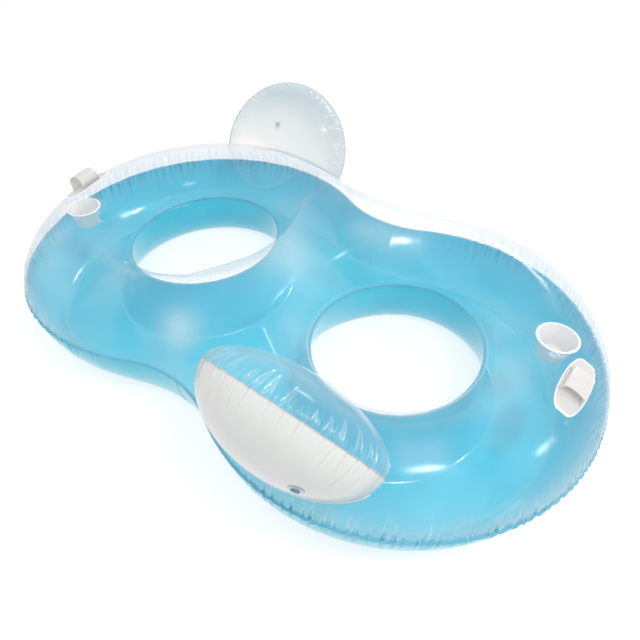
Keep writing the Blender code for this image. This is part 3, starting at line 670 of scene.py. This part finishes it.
def drawn(depth, reach):
    """Nought at a weld, where a pleat is held, and one well away from it."""
    return 1 - np.exp(-depth / reach)


outer_arc = np.zeros(len(angles))
outer_arc[lobe_end] = lengths_along(plan[lobe_end, -1])
outer_total = outer_arc.max()
hole_arc = lengths_along(plan[:, 0])
hole_total = hole_arc[-1] + np.linalg.norm(plan[0, 0] - plan[-1, 0])

# Folds fade out where the outline turns in to the waist
end_fade = np.zeros(len(angles))
end_fade[lobe_end] = smooth_step((radians(112) - np.abs(angles[lobe_end])) / radians(26))


# Painted sheen: pale patches painted on the clear film where soft lights reflect in it; place in plan, reach
# and strength
painted_sheen_places = [
    (-0.78, -0.52, 0.055, 0.8), (-0.66, -0.62, 0.055, 0.8), (-0.54, -0.68, 0.050, 0.5),
    (0.40, 0.20, 0.050, 0.8), (-0.01, -0.54, 0.046, 1.0), (-0.08, -0.54, 0.040, 0.8),
    (-0.08, 0.05, 0.075, 0.8), (0.04, -0.06, 0.080, 0.9), (-0.17, 0.13, 0.060, 0.6),
    (0.58, 0.23, 0.045, 0.8), (0.66, 0.23, 0.045, 0.9), (0.75, 0.19, 0.045, 0.8),
    (0.87, 0.07, 0.050, 0.6), (0.90, -0.04, 0.050, 0.5), (0.91, -0.16, 0.045, 0.3),
    (-0.43, 0.22, 0.050, 0.9), (-0.34, 0.25, 0.045, 0.6), (0.14, 0.27, 0.038, 0.6),
    (0.21, 0.33, 0.038, 0.7), (0.30, 0.38, 0.038, 0.6), (0.79, -0.46, 0.036, 0.5),
    (0.85, -0.41, 0.036, 0.5), (0.25, -0.25, 0.045, 0.5), (-0.40, -0.53, 0.055, 0.4)]
painted_sheen_share = 0.62
painted_sheen_spread = 1.5


def painted_sheen_at(rows):
    """How much painted sheen, standing in for soft lights reflected in it, the clear film has at each point.
    """
    painted_sheen = np.zeros(rows.shape[:2])
    for x, y, reach, strength in painted_sheen_places:
        away = (rows[..., 0] - x) ** 2 + (rows[..., 1] - y) ** 2
        painted_sheen += painted_sheen_share * strength * np.exp(-away / (painted_sheen_spread * reach) ** 2)
    return np.clip(painted_sheen, 0, 1)


def film_rows(face, side):
    """The film of one lobe, before it is turned to its place: 1 for the upper face, -1 for the lower."""
    if face == 1:
        z = weld_line + clearance / 2 + film + shoulder(shares)[None, :] * bulge
    else:
        z = np.maximum(weld_line - clearance / 2 - film - underside_drop_share * bulge, film)
    rows = np.dstack([plan, z])
    depth_in, depth_out = depths(rows)
    out = normals(rows) * face
    seed = 10 if side == "a" else 20
    arc, fade = outer_arc[:, None], end_fade[:, None]
    long, long_crease = gathers(seed, arc, outer_total, depth_out, *ring_long_pleats)
    short, short_crease = gathers(seed + 1, arc, outer_total, depth_out, *ring_short_pleats,
                                  stray=0.22, least=0.7)
    inner, inner_crease = gathers(seed + 2, hole_arc[:, None], hole_total, depth_in, *hole_pleats)
    outer = (long * ring_long_depth + short * ring_short_depth) * fade
    pulled = outer * drawn(depth_out, 7 * MM) + inner * drawn(depth_in, 5 * MM) * hole_depth
    rows = rows - out * pulled[..., None]
    # Painted light: the clear film is painted paler along its pleats' edges as glints, and in a band near
    # the outer weld as a painted reflection; the blue one is painted deeper at the pleats' mouths, partly
    # the film bunched there and partly painted shade
    if face == 1:
        tone_and_painted_light = 0.5 * long_crease + 0.45 * short_crease + 0.42 * np.exp(-(depth_out / 0.10) ** 2)
        tone_and_painted_light = tone_and_painted_light * fade + 0.2 * inner_crease
    else:
        # Deeper blue at the pleats' mouths: partly the film bunched there, partly painted shade
        pleat_mouth_tone_and_shade = 0.7 * long * np.exp(-depth_out / 0.05) + 1.3 * short * np.exp(-depth_out / 0.022)
        tone_and_painted_light = (pleat_mouth_tone_and_shade + 0.3 * long_crease) * fade + 0.15 * inner_crease
    # Each gather draws its weld in and lifts it
    near = np.exp(-depth_out / (30 * MM)) * (np.arange(len(angles)) <= end_ray_count)[:, None]
    draw = outer[:, -1:] * near
    toward = plan[:, :1] - plan[:, -1:]
    toward = toward / np.linalg.norm(toward, axis=-1, keepdims=True)
    rows[..., :2] += toward * (weld_draw_share * draw)[..., None]
    rows[..., 2] += weld_lift_share * draw
    wave = ripple(seed + 3, outer_arc, outer_total, 2.0 * MM) * end_fade
    rows[..., 2] += wave[:, None] * near
    rows[..., 2] = np.maximum(rows[..., 2], film)
    return rows, np.clip(tone_and_painted_light, 0, 1)


def beside(along):
    """Level directions to the right of the given ones."""
    out = np.stack([along[:, 1], -along[:, 0]], -1)
    return out / np.maximum(np.linalg.norm(out, axis=1, keepdims=True), 1e-9)


def weld_lip(line, out, width, flutter):
    """A weld's strip outside an edge, which waves more the farther out it is."""
    strip = np.repeat(line[:, None, :], len(weld_steps), axis=1)
    strip[..., :2] += out[:, None, :] * (weld_steps * width)[None, :, None]
    strip[..., 2] += flutter[:, None] * weld_steps[None, :]
    return strip


def ring_lips(rows, side):
    """The weld's lip outside the film's outer edge, and the lip round the hole."""
    edge = rows[lobe_end, -1]
    out = beside(np.gradient(edge[:, :2], axis=0))
    flutter = ripple(41 if side == "a" else 42, outer_arc[lobe_end], outer_total, 1.2 * MM)
    outer = weld_lip(edge, out, weld_width, flutter * end_fade[lobe_end])
    edge = rows[:, 0]
    inward = -beside(np.roll(edge[:, :2], -1, axis=0) - np.roll(edge[:, :2], 1, axis=0))
    flutter = ripple(43 if side == "a" else 44, hole_arc, hole_total, 0.8 * MM)
    return outer, weld_lip(edge, inward, weld_width, flutter)


def to_side(rows, side):
    """Side b is side a turned half a turn round."""
    return rows if side == "a" else rows * np.array([-1.0, -1.0, 1.0])


def moved(rows, matrix):
    """Points taken out of a frame, or into it by the frame's inverse."""
    matrix = np.array(matrix)
    return rows @ matrix[:3, :3].T + matrix[:3, 3]


def outline_distance(u, v, outline):
    """Signed distance of places to a closed outline, less than zero inside."""
    loop = np.array(outline)
    best = np.full(np.shape(u), 1e9)
    within = np.zeros(np.shape(u), bool)
    for (ax, ay), (bx, by) in zip(loop, np.roll(loop, -1, axis=0)):
        run = np.array((bx - ax, by - ay))
        along = np.clip(((u - ax) * run[0] + (v - ay) * run[1]) / (run ** 2).sum(), 0, 1)
        best = np.minimum(best, np.hypot(u - ax - along * run[0], v - ay - along * run[1]))
        if ay != by:
            crosses = ((ay > v) != (by > v)) & (u < ax + (bx - ax) * (v - ay) / (by - ay))
            within ^= crosses
    return np.where(within, -best, best)


def plate_outline(margin, rounds=3):
    """A long patch with full sides and straight ends, its corners cut round."""
    corners = [(1.0, 0.0), (1.0, 0.56), (0.56, 0.92), (0.0, 1.0), (-0.56, 0.92), (-1.0, 0.56),
               (-1.0, 0.0), (-1.0, -0.56), (-0.56, -0.92), (0.0, -1.0), (0.56, -0.92), (1.0, -0.56)]
    loop = np.array(corners) * (plate_half_length + margin, plate_half_width + margin)
    for _ in range(rounds):
        after = np.roll(loop, -1, axis=0)
        loop = np.stack([0.75 * loop + 0.25 * after, 0.25 * loop + 0.75 * after], 1).reshape(-1, 2)
    return [tuple(point) for point in loop]


def seat_features(rows, side):
    """Settles the upper film under the cup's rim and the handle's patch, and rounds it where it is cut."""
    cup = cup_frame(side).translation
    away = np.hypot(rows[..., 0] - cup.x, rows[..., 1] - cup.y)
    rim = cup_rim_radius + 2 * MM
    hold = 1 - smooth_step((away - rim) / seat_blend)
    rows[..., 2] = rows[..., 2] * (1 - hold) + (cup.z - 0.2 * MM) * hold
    ring = cup_mouth_radius + cup_wall + 1.5 * MM
    near = np.abs(away - ring) < 4.2 * MM
    scale = np.where(near, ring / np.maximum(away, 1e-6), 1.0)
    rows[..., 0] = cup.x + (rows[..., 0] - cup.x) * scale
    rows[..., 1] = cup.y + (rows[..., 1] - cup.y) * scale
    seat = handle_frame(side)
    local = moved(rows, seat.inverted())
    apart = outline_distance(local[..., 0], local[..., 1], plate_outline(2 * MM))
    hold = 1 - smooth_step(apart / seat_blend)
    local[..., 2] = local[..., 2] * (1 - hold) - 0.2 * MM * hold
    return moved(local, seat), cup, ring


top, bottom = Sheet(), Sheet()
for side in "ab":
    rows, tone_and_painted_light = film_rows(1, side)
    outer_lip, inner_lip = ring_lips(rows, side)
    rows, cup, ring = seat_features(to_side(rows, side), side)
    top.grid(rows, 0, True, lambda at: np.hypot(at[:, 0] - cup.x, at[:, 1] - cup.y) > ring - 1 * MM,
             True, tone_and_painted_light, painted_sheen_at(rows))
    top.grid(to_side(outer_lip, side), 1, flip=True)
    top.grid(to_side(inner_lip, side)[:, ::-1], 1, True, flip=True)
    rows, tone_and_painted_light = film_rows(-1, side)
    outer_lip, inner_lip = ring_lips(rows, side)
    bottom.grid(to_side(rows, side), 0, True, tone_and_painted_light=tone_and_painted_light)
    bottom.grid(to_side(outer_lip, side), 1)
    bottom.grid(to_side(inner_lip, side)[:, ::-1], 1, True)

finish_piece(top.make("upper_film", [clear_film, clear_weld]), "float", ["top_sheet"])
finish_piece(bottom.make("lower_film", [blue_film, blue_weld]), "float", ["bottom_sheet"])


# Pillows
def pillow_bulge(depth, reach):
    """How far a pillow's film stands off the plane of its weld."""
    return clearance / 2 + depth * np.sqrt(np.maximum(1 - (reach / pillow_radius) ** 2, 0))


def over_ring(matrix, x, y, z):
    """How far places in a pillow's frame are above the ring's upper film."""
    spread = moved(np.stack([x, y, z], -1), matrix)
    return spread[..., 2] - top_height(spread[..., 0], spread[..., 1])


def base_reach(matrix, turns, face, depth, radius):
    """How far a film runs from the middle of its weld's circle before it meets the ring or the weld."""
    low, high = np.zeros(len(turns)), np.full(len(turns), radius)
    x, y = radius * np.cos(turns), radius * np.sin(turns)
    free = over_ring(matrix, x, y, np.zeros(len(turns))) > 0
    for _ in range(34):
        middle = (low + high) / 2
        z = face * pillow_bulge(depth, middle)
        above = over_ring(matrix, middle * np.cos(turns), middle * np.sin(turns), z) > 0
        low, high = np.where(above, middle, low), np.where(above, high, middle)
    return np.where(free, radius, (low + high) / 2), free


def pillow_sheet(side, face, depth, seed):
    """A pillow's film from its middle to its weld or base, its lip, where it is free, and the mask of its
    painted glints along the pleats.
    """
    matrix = pillow_frame(side)
    turns = np.linspace(0, 2 * pi, pillow_turn_count, endpoint=False) + pi / 2
    reach, free = base_reach(matrix, turns, face, depth, pillow_radius)
    steps = np.sin(np.linspace(0, pi / 2, pillow_ring_count + 1))
    r = reach[:, None] * steps[None, :]
    x, y = r * np.cos(turns)[:, None], r * np.sin(turns)[:, None]
    z = face * pillow_bulge(depth, r)
    rows = np.dstack([x, y, z])
    depth_out = depths(rows)[1]
    arc = pillow_radius * (turns - pi / 2)
    total = 2 * pi * pillow_radius
    out = normals(rows)
    out = out * np.sign(out[..., 2:3] * face + 1e-9)
    # The long pleats give way to the base's short ones over a few rows
    soft = 6
    fade = np.where(free, 1.0, 0.0)
    fade = np.concatenate([fade[-soft:], fade, fade[:soft]])
    fade = np.convolve(fade, np.ones(2 * soft + 1) / (2 * soft + 1), "valid")[:, None]
    along = arc[:, None]
    long, long_crease = gathers(seed, along, total, depth_out, *pillow_long_pleats[face], thin=2.2 * MM)
    short, short_crease = gathers(seed + 1, along, total, depth_out, *pillow_short_pleats, thin=1.4 * MM)
    base, base_crease = gathers(seed + 2, along, total, depth_out, *pillow_base_pleats)
    hold = smooth_step(r / (0.25 * pillow_radius)) * drawn(depth_out, 5 * MM)
    pulled = (long * pillow_long_depth + short * pillow_short_depth) * fade
    pulled += base * pillow_base_depth * (1 - fade)
    rows = rows - out * (pulled * hold)[..., None]
    off = smooth_step((depth_out - 6 * MM) / (16 * MM))
    # Painted glints along the pleats' edges, shown by the clear front film
    tone_and_painted_light = (1.3 * long_crease * off + 0.5 * short_crease) * fade + 0.3 * base_crease * (1 - fade)
    flutter = ripple(seed + 3 - (face < 0) * 5, arc, total, 0.9 * MM)
    edge = weld_lip(rows[:, -1], np.stack([np.cos(turns), np.sin(turns)], -1), pillow_weld_width, flutter)
    return moved(rows, matrix), moved(edge, matrix), free, tone_and_painted_light


def one_run(chosen):
    """The places of a closed line that are chosen, in one run even where it passes the line's start."""
    places = np.where(chosen)[0]
    breaks = np.where(np.diff(places) > 1)[0]
    return np.roll(places, -int(breaks[0] + 1)) if len(breaks) else places


def base_strip(world, free):
    """The weld along a pillow's base: a narrow strip that lies on the ring outside the film."""
    foot = world[:, -1]
    line = foot[one_run(~free)]
    out = beside(np.gradient(line[:, :2], axis=0))
    out *= np.sign(((line[:, :2] - foot.mean(0)[:2]) * out).sum(1).mean())
    strip = weld_lip(line, out, base_weld_width, np.zeros(len(line)))
    strip[..., 2] = top_height(strip[..., 0], strip[..., 1]) + (0.9 - 0.5 * weld_steps[None, :]) * MM
    return strip


for side in "ab":
    for face, depth, name, finishes in (
            (1, pillow_front_depth, "front", [clear_film, clear_weld]),
            (-1, pillow_back_depth, "back", [white_film, white_weld])):
        seed = 60 + 10 * (side == "b") + 5 * (face < 0)
        film_points, lip, free, tone_and_painted_light = pillow_sheet(side, face, depth, seed)
        sheet = Sheet()
        sheet.grid(film_points, 0, True, flip=face > 0, tone_and_painted_light=tone_and_painted_light)
        sheet.grid(lip[one_run(free)], 1, flip=face > 0)
        sheet.grid(base_strip(film_points, free), 1)
        node_name = f"pillow_{side}_{name}"
        piece = sheet.make(node_name + "_film", finishes)
        finish_piece(piece, "float", [node_name])


def turned_outward(obj, slivers=0.0):
    """Turns all faces outwards, after slivers of faces are taken out."""
    shape = bmesh.new()
    shape.from_mesh(obj.data)
    if slivers:
        bmesh.ops.dissolve_degenerate(shape, edges=shape.edges, dist=slivers)
    bmesh.ops.recalc_face_normals(shape, faces=shape.faces)
    shape.to_mesh(obj.data)
    shape.free()
    return obj


# Cup wells
def rounded(profile, radius, steps=3):
    """A profile with each inner corner rounded."""
    out = [profile[0]]
    for before, here, after in zip(profile, profile[1:], profile[2:]):
        a, b, c = Vector(before), Vector(here), Vector(after)
        cut = min(radius, (a - b).length * 0.45, (c - b).length * 0.45)
        start, end = b + (a - b).normalized() * cut, b + (c - b).normalized() * cut
        for k in range(steps + 1):
            t = k / steps
            out.append(tuple(start * (1 - t) ** 2 + b * 2 * t * (1 - t) + end * t ** 2))
    return out + [profile[-1]]


def lathe(name, profile, matrix, material, sides, radius, bright):
    """A profile of radius and height turned about a frame's Z; bright gives the mask of its tone and painted
    light by radius.
    """
    line = rounded(profile, radius)
    turns = np.linspace(0, 2 * pi, sides, endpoint=False)
    r = np.array([p[0] for p in line])
    z = np.array([p[1] for p in line])
    heights = np.repeat(z[None, :], sides, axis=0)
    rows = np.stack([np.outer(np.cos(turns), r), np.outer(np.sin(turns), r), heights], -1)
    sheet = Sheet()
    sheet.grid(moved(rows, matrix), 0, True, tone_and_painted_light=np.broadcast_to(bright(r), (sides, len(line))))
    return turned_outward(sheet.make(name, [material]), slivers=0.01 * MM)


cup_top = clearance + cup_wall
cup_floor = cup_top - cup_depth
for side in "ab":
    profile = [
        (0, cup_floor + cup_wall), (cup_floor_radius, cup_floor + cup_wall),
        (cup_mouth_radius, cup_top + 0.8 * MM), (cup_mouth_radius + 3.0 * MM, cup_top + 1.9 * MM),
        (cup_mouth_radius + 5.5 * MM, cup_top), (cup_rim_radius, cup_top - 0.9 * MM),
        (cup_rim_radius, clearance), (cup_mouth_radius + cup_wall, clearance),
        (cup_floor_radius + cup_wall, cup_floor), (0, cup_floor)]
    # Towards the rim the cup is denser and bluish white: partly its thicker moulding, partly a painted rim
    # highlight
    well = lathe(f"cup_well_{side}", profile, cup_frame(side), cup_white, 96, 2.4 * MM,
                 lambda r: smooth_step((r - cup_mouth_radius + 3 * MM) / (3 * MM)))
    finish_piece(well, "float", [f"cup_holder_{side}"])


# Handles
def patch(side):
    """The handle's welded patch, flat, with a raised bead round its edge; levels are of its thickness."""
    edge = [(1.0, 0.0), (1.0, 0.75), (0.985, 1.6), (0.955, 1.8), (0.93, 1.1), (0.90, 0.9)]
    levels = edge + [(0.6, 0.9), (0.3, 0.9), (0.0, 0.9)]
    rows = []
    for x, y in plate_outline(0):
        rows.append([(x * share, y * share, clearance + plate_thickness * level) for share, level in levels])
    rows = moved(np.array(rows), handle_frame(side))
    # The bead is painted paler: a painted rim highlight
    bead = np.array([1.0 if share > bead_highlight_share else 0.0 for share, _ in levels])
    sheet = Sheet()
    sheet.grid(rows, 0, True, tone_and_painted_light=np.broadcast_to(bead, rows.shape[:2]))
    return sheet.make(f"handle_patch_{side}", [moulded_white])


def strap(side):
    """The arched grip: wide feet, a flat crown and soft thick edges."""
    path = []
    for step in range(-foot_step_count, arch_step_count + foot_step_count + 1):
        turn = min(max(pi * step / arch_step_count, 0.0), pi)
        lift = sin(turn) if 0 < step < arch_step_count else 0.0
        along = -grip_half_span * cos(turn)
        if step < 0:
            along = -grip_half_span + grip_foot * step / foot_step_count
        if step > arch_step_count:
            along = grip_half_span + grip_foot * (step - arch_step_count) / foot_step_count
        width = grip_foot_width + (grip_width - grip_foot_width) * sqrt(lift)
        path.append((along, grip_rises[side] * lift ** grip_flatness, width))
    centre = np.array([(along, rise) for along, rise, _ in path])
    run = np.gradient(centre, axis=0)
    run /= np.linalg.norm(run, axis=1, keepdims=True)
    out = np.stack([-run[:, 1], run[:, 0]], -1)
    # Four rounded corners, each as its side and its place on a circle
    section = []
    half = grip_thickness / 2
    for x, z in ((-1, -1), (1, -1), (1, 1), (-1, 1)):
        for k in range(5):
            turn = atan2(z, x) + radians(-45 + 22.5 * k)
            section.append((x, cos(turn), sin(turn)))
    lifted = clearance * 2 + plate_thickness + half
    rows = []
    for (along, rise), normal, (_, _, width) in zip(centre, out, path):
        line = []
        for x, c, s in section:
            across = x * (width / 2 - half) + c * half
            bead = 1.0 + grip_bead_share * smooth_step((abs(across) - width / 2 + 7 * MM) / (5 * MM))
            thick = s * half * bead
            line.append((across, along + normal[0] * thick, lifted + rise + normal[1] * thick))
        rows.append(line + [line[0]])
    rows = np.array(rows)
    ends = [np.stack([rows[k], np.repeat(rows[k].mean(0)[None], rows.shape[1], axis=0)]) for k in (0, -1)]
    sheet = Sheet()
    for grid in [rows] + ends:
        sheet.grid(moved(grid, handle_frame(side)), 0)
    return turned_outward(sheet.make(f"handle_strap_{side}", [moulded_white]))


for side in "ab":
    finish_piece(patch(side), "float", [f"handle_plate_{side}"])
    finish_piece(strap(side), "float", [f"handle_grip_{side}"])

# Air valves keep their turned solids, with their own finishes
for name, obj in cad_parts.items():
    if "valve" in name:
        obj.data.materials.clear()
        obj.data.materials.append(valve_blue if name.endswith("plug") else valve_pale)

# Floor, light and camera
def seen_rays(tree):
    """One for the rays that show the background: to the camera, in a reflection or through glass."""
    path = node(tree, "ShaderNodeLightPath")
    shown = path.outputs["Is Camera Ray"]
    for kind in ("Is Glossy Ray", "Is Transmission Ray"):
        either = node(tree, "ShaderNodeMath", operation="MAXIMUM")
        tree.links.new(shown, either.inputs[0])
        tree.links.new(path.outputs[kind], either.inputs[1])
        shown = either.outputs["Value"]
    return shown


floor_mesh = bpy.data.meshes.new("floor")
reach = 9.0
corners = [(-reach, -reach, 0), (reach, -reach, 0), (reach, reach, 0), (-reach, reach, 0)]
floor_mesh.from_pydata(corners, [], [(0, 1, 2, 3)])
floor = placed("floor", floor_mesh)
# The floor glows more where it is seen, so that it shows white and still lights the float softly
floor_finish, floor_tree, floor_shader = material("floor", **{
    "Base Color": (0.42, 0.42, 0.42, 1), "Roughness": 0.9, "Emission Color": (1, 1, 1, 1)})
paler = node(floor_tree, "ShaderNodeMapRange", **{"To Min": 0.40, "To Max": 0.70})
floor_tree.links.new(seen_rays(floor_tree), paler.inputs["Value"])
floor_tree.links.new(paler.outputs["Result"], floor_shader.inputs["Emission Strength"])
floor_mesh.materials.append(floor_finish)

world = bpy.data.worlds.new("studio")
bpy.context.scene.world = world
world.use_nodes = True
tree = world.node_tree
shown = node(tree, "ShaderNodeBackground", Color=(1, 1, 1, 1), Strength=1.0)
lit = node(tree, "ShaderNodeBackground", Color=(1.0, 0.985, 0.97, 1), Strength=0.60)
both = node(tree, "ShaderNodeMixShader")
tree.links.new(seen_rays(tree), both.inputs["Fac"])
tree.links.new(lit.outputs["Background"], both.inputs[1])
tree.links.new(shown.outputs["Background"], both.inputs[2])
tree.links.new(both.outputs["Shader"], tree.nodes["World Output"].inputs["Surface"])


def direction(azimuth, elevation):
    """The way from the float to a place round it, in degrees."""
    a, e = radians(azimuth), radians(elevation)
    return Vector((sin(a) * cos(e), -cos(a) * cos(e), sin(e)))


def soft_box(name, azimuth, elevation, width, depth, power):
    """An oval light that faces the float from a direction, in degrees."""
    away = direction(azimuth, elevation)
    data = bpy.data.lights.new(name, "AREA")
    data.shape = "ELLIPSE"
    data.size, data.size_y = width, depth
    data.energy = power
    obj = placed(name, data)
    facing = away.to_track_quat("Z", "Y").to_matrix().to_4x4()
    obj.matrix_world = Matrix.Translation(away * light_distance) @ facing
    return obj


light_distance = 5.0
over = soft_box("over", 22, 68, 2.6, 1.9, 42)
over.visible_glossy = False
soft_box("high", 78, 63, 1.1, 0.45, 50)
soft_box("far", 177, 34, 1.3, 0.34, 50)
soft_box("side", 110, 32, 0.58, 0.38, 28)

# The camera, with its lens and shifts in pixels of a picture this wide
picture_width = 640
sensor_width = 36.0
camera_azimuth = 39.866
camera_data = bpy.data.cameras.new("camera")
camera = placed("camera", camera_data)
camera_data.sensor_width = sensor_width
camera_data.lens = 522.5 / picture_width * sensor_width
camera_data.shift_x = 27.94 / picture_width
camera_data.shift_y = 7.10 / picture_width
back = direction(camera_azimuth, 46.644)
right = Vector((cos(radians(camera_azimuth)), sin(radians(camera_azimuth)), 0))
camera.matrix_world = Matrix((right, back.cross(right), back)).transposed().to_4x4()
camera.matrix_world.translation = Vector((1.01355, -1.21365, 1.43969 + seam_height))
bpy.context.scene.camera = camera
bpy.context.scene.view_settings.view_transform = "Standard"
bpy.context.scene.cycles.transparent_max_bounces = 24
